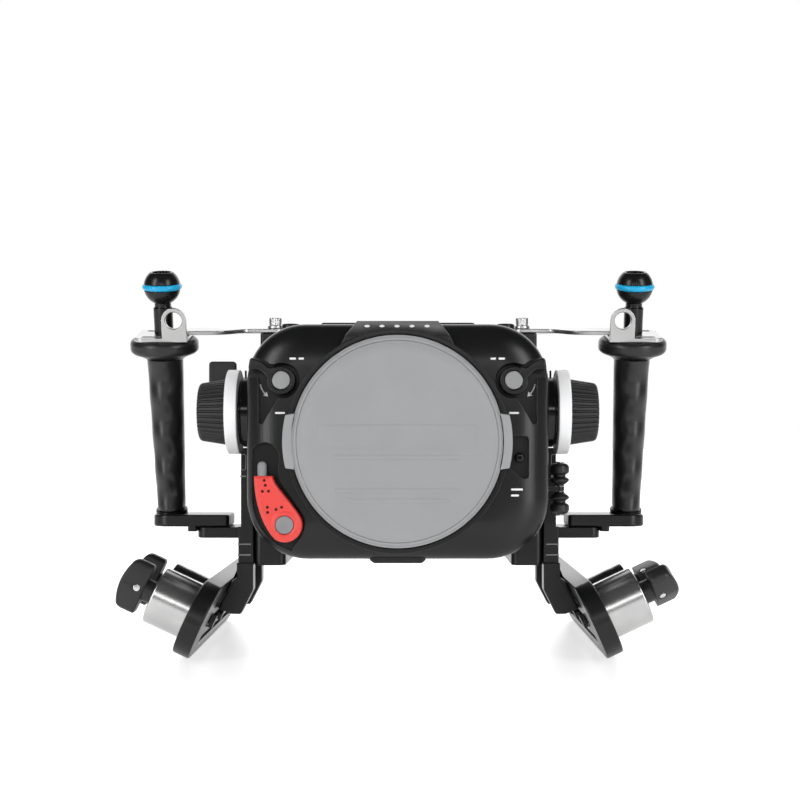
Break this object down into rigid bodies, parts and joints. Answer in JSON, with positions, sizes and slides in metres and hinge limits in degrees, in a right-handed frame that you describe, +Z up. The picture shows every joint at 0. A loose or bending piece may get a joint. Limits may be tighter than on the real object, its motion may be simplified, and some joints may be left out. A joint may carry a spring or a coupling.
{
  "type": "underwater camera housing",
  "caption": "Watertight camera case with a capped front lens port, focus knobs, latches, two leaning grips with arm balls, and tilted rails with clamped weights that it stands on.",
  "frame": {"origin": "centre of the overall box, on the surface that the weight rails stand on", "axes": "+X to the right as the capped port is faced, +Y from the port to the rear window, +Z up"},
  "size_m": [0.3853, 0.264, 0.2634],
  "materials": {
    "anodised_aluminium": "black anodised, fine satin",
    "black_plastic": "moulded black acetal, satin",
    "black_rubber": "soft matt rubber",
    "cap_grey": "mid grey moulded rubber-like plastic",
    "button_grey": "light grey plastic",
    "lever_red": "red moulded plastic",
    "ring_white": "white moulded plastic",
    "ring_blue": "bright blue rubber",
    "stainless_steel": "bead blasted stainless steel",
    "polished_steel": "turned and polished stainless steel",
    "clear_acrylic": "clear polished acrylic"
  },
  "bodies": {
    "main": {"rear_shell": "anodised_aluminium", "shell_seal": "black_rubber", "camera_tray": "anodised_aluminium", "rear_window": "clear_acrylic", "window_frame": "anodised_aluminium", "vacuum_valve": "anodised_aluminium", "left_side_rail": "anodised_aluminium", "left_base_foot": "anodised_aluminium", "left_strap": "stainless_steel", "left_strap_bolt": "stainless_steel", "left_handle_arm": "anodised_aluminium", "left_handle_plate": "anodised_aluminium", "left_grip": "black_rubber", "left_grip_bracket": "stainless_steel", "left_ball_mount": "anodised_aluminium", "left_ball_ring": "ring_blue", "left_weight_rail": "anodised_aluminium", "right_side_rail": "anodised_aluminium", "right_base_foot": "anodised_aluminium", "right_strap": "stainless_steel", "right_strap_bolt": "stainless_steel", "right_handle_arm": "anodised_aluminium", "right_handle_plate": "anodised_aluminium", "right_grip": "black_rubber", "right_grip_bracket": "stainless_steel", "right_ball_mount": "anodised_aluminium", "right_ball_ring": "ring_blue", "right_weight_rail": "anodised_aluminium"},
    "front_case": {"front_shell": "anodised_aluminium", "port_ring": "anodised_aluminium", "finger_lever_pin": "stainless_steel", "left_bulkhead_cap": "anodised_aluminium", "left_knob_gland": "anodised_aluminium", "right_bulkhead_cap": "anodised_aluminium", "right_knob_gland": "anodised_aluminium"},
    "port_cap": {"port_cap": "cap_grey"},
    "port_lever": {"port_lever": "lever_red", "port_lever_tip": "button_grey"},
    "port_lever_button": {"port_lever_button": "button_grey"},
    "left_latch": {"left_latch": "anodised_aluminium"},
    "left_latch_button": {"left_latch_button": "button_grey"},
    "right_latch": {"right_latch": "anodised_aluminium"},
    "right_latch_button": {"right_latch_button": "button_grey"},
    "lens_release_button": {"lens_release_button": "black_plastic"},
    "left_knob": {"left_knob": "black_plastic", "left_knob_ring": "ring_white"},
    "right_knob": {"right_knob": "black_plastic", "right_knob_ring": "ring_white"},
    "thumb_lever": {"thumb_lever": "black_plastic"},
    "upper_finger_lever": {"upper_finger_lever": "black_plastic"},
    "lower_finger_lever": {"lower_finger_lever": "black_plastic"},
    "record_button": {"record_button": "button_grey"},
    "left_front_weight": {"left_front_weight": "polished_steel"},
    "left_rear_weight": {"left_rear_weight": "polished_steel"},
    "left_front_clamp_knob": {"left_front_clamp_knob": "black_plastic"},
    "left_rear_clamp_knob": {"left_rear_clamp_knob": "black_plastic"},
    "right_front_weight": {"right_front_weight": "polished_steel"},
    "right_rear_weight": {"right_rear_weight": "polished_steel"},
    "right_front_clamp_knob": {"right_front_clamp_knob": "black_plastic"},
    "right_rear_clamp_knob": {"right_rear_clamp_knob": "black_plastic"}
  },
  "joints": [
    {"name": "front_case_open", "type": "slide", "parent": "main", "child": "front_case", "axis": [0, -1, 0], "range_m": [0, 0.09]},
    {"name": "port_cap_off", "type": "slide", "parent": "front_case", "child": "port_cap", "axis": [0, -1, 0], "range_m": [0, 0.06]},
    {"name": "port_lever_swing", "type": "hinge", "parent": "front_case", "child": "port_lever", "pos_m": [-0.07231, -0.118, 0.09139], "axis": [0, -1, 0], "range_deg": [0, 60]},
    {"name": "port_lever_button_press", "type": "slide", "parent": "port_lever", "child": "port_lever_button", "axis": [0, 1, 0], "range_m": [0, 0.002], "stiffness_N_per_m": 500},
    {"name": "left_latch_turn", "type": "hinge", "parent": "front_case", "child": "left_latch", "pos_m": [-0.0747, -0.118, 0.18419], "axis": [0, -1, 0], "range_deg": [0, 60]},
    {"name": "left_latch_button_press", "type": "slide", "parent": "left_latch", "child": "left_latch_button", "axis": [0, 1, 0], "range_m": [0, 0.002], "stiffness_N_per_m": 500},
    {"name": "right_latch_turn", "type": "hinge", "parent": "front_case", "child": "right_latch", "pos_m": [0.0747, -0.118, 0.18419], "axis": [0, 1, 0], "range_deg": [0, 60]},
    {"name": "right_latch_button_press", "type": "slide", "parent": "right_latch", "child": "right_latch_button", "axis": [0, 1, 0], "range_m": [0, 0.002], "stiffness_N_per_m": 500},
    {"name": "lens_release_press", "type": "slide", "parent": "front_case", "child": "lens_release_button", "axis": [0, 1, 0], "range_m": [0, 0.0025], "stiffness_N_per_m": 500},
    {"name": "left_knob_turn", "type": "hinge", "parent": "front_case", "child": "left_knob", "pos_m": [-0.12, -0.073, 0.1645], "axis": [1, 0, 0], "continuous": true},
    {"name": "right_knob_turn", "type": "hinge", "parent": "front_case", "child": "right_knob", "pos_m": [0.12, -0.073, 0.1645], "axis": [1, 0, 0], "continuous": true},
    {"name": "thumb_lever_swing", "type": "hinge", "parent": "main", "child": "thumb_lever", "pos_m": [-0.11, -0.026, 0.165], "axis": [1, 0, 0], "range_deg": [-15, 15], "stiffness_Nm_per_rad": 1.5},
    {"name": "upper_finger_lever_swing", "type": "hinge", "parent": "front_case", "child": "upper_finger_lever", "pos_m": [0.109, -0.073, 0.1129], "axis": [0, 0, 1], "range_deg": [-20, 20], "stiffness_Nm_per_rad": 0.2},
    {"name": "lower_finger_lever_swing", "type": "hinge", "parent": "front_case", "child": "lower_finger_lever", "pos_m": [0.109, -0.073, 0.1129], "axis": [0, 0, 1], "range_deg": [-20, 20], "stiffness_Nm_per_rad": 0.2},
    {"name": "record_button_press", "type": "slide", "parent": "main", "child": "record_button", "axis": [0, -1, 0], "range_m": [0, 0.002], "stiffness_N_per_m": 500},
    {"name": "left_front_weight_slide", "type": "slide", "parent": "main", "child": "left_front_weight", "axis": [0, 1, 0], "range_m": [-0.009, 0.0015]},
    {"name": "left_rear_weight_slide", "type": "slide", "parent": "main", "child": "left_rear_weight", "axis": [0, 1, 0], "range_m": [-0.0015, 0.109]},
    {"name": "left_front_clamp_turn", "type": "hinge", "parent": "left_front_weight", "child": "left_front_clamp_knob", "pos_m": [-0.15562, -0.061, 0.03534], "axis": [-0.9063, 0, 0.4226], "range_deg": [0, 270]},
    {"name": "left_rear_clamp_turn", "type": "hinge", "parent": "left_rear_weight", "child": "left_rear_clamp_knob", "pos_m": [-0.15562, -0.017, 0.03534], "axis": [-0.9063, 0, 0.4226], "range_deg": [0, 270]},
    {"name": "right_front_weight_slide", "type": "slide", "parent": "main", "child": "right_front_weight", "axis": [0, 1, 0], "range_m": [-0.009, 0.0015]},
    {"name": "right_rear_weight_slide", "type": "slide", "parent": "main", "child": "right_rear_weight", "axis": [0, 1, 0], "range_m": [-0.0015, 0.109]},
    {"name": "right_front_clamp_turn", "type": "hinge", "parent": "right_front_weight", "child": "right_front_clamp_knob", "pos_m": [0.15562, -0.061, 0.03534], "axis": [0.9063, 0, 0.4226], "range_deg": [0, 270]},
    {"name": "right_rear_clamp_turn", "type": "hinge", "parent": "right_rear_weight", "child": "right_rear_clamp_knob", "pos_m": [0.15562, -0.017, 0.03534], "axis": [0.9063, 0, 0.4226], "range_deg": [0, 270]}
  ]
}
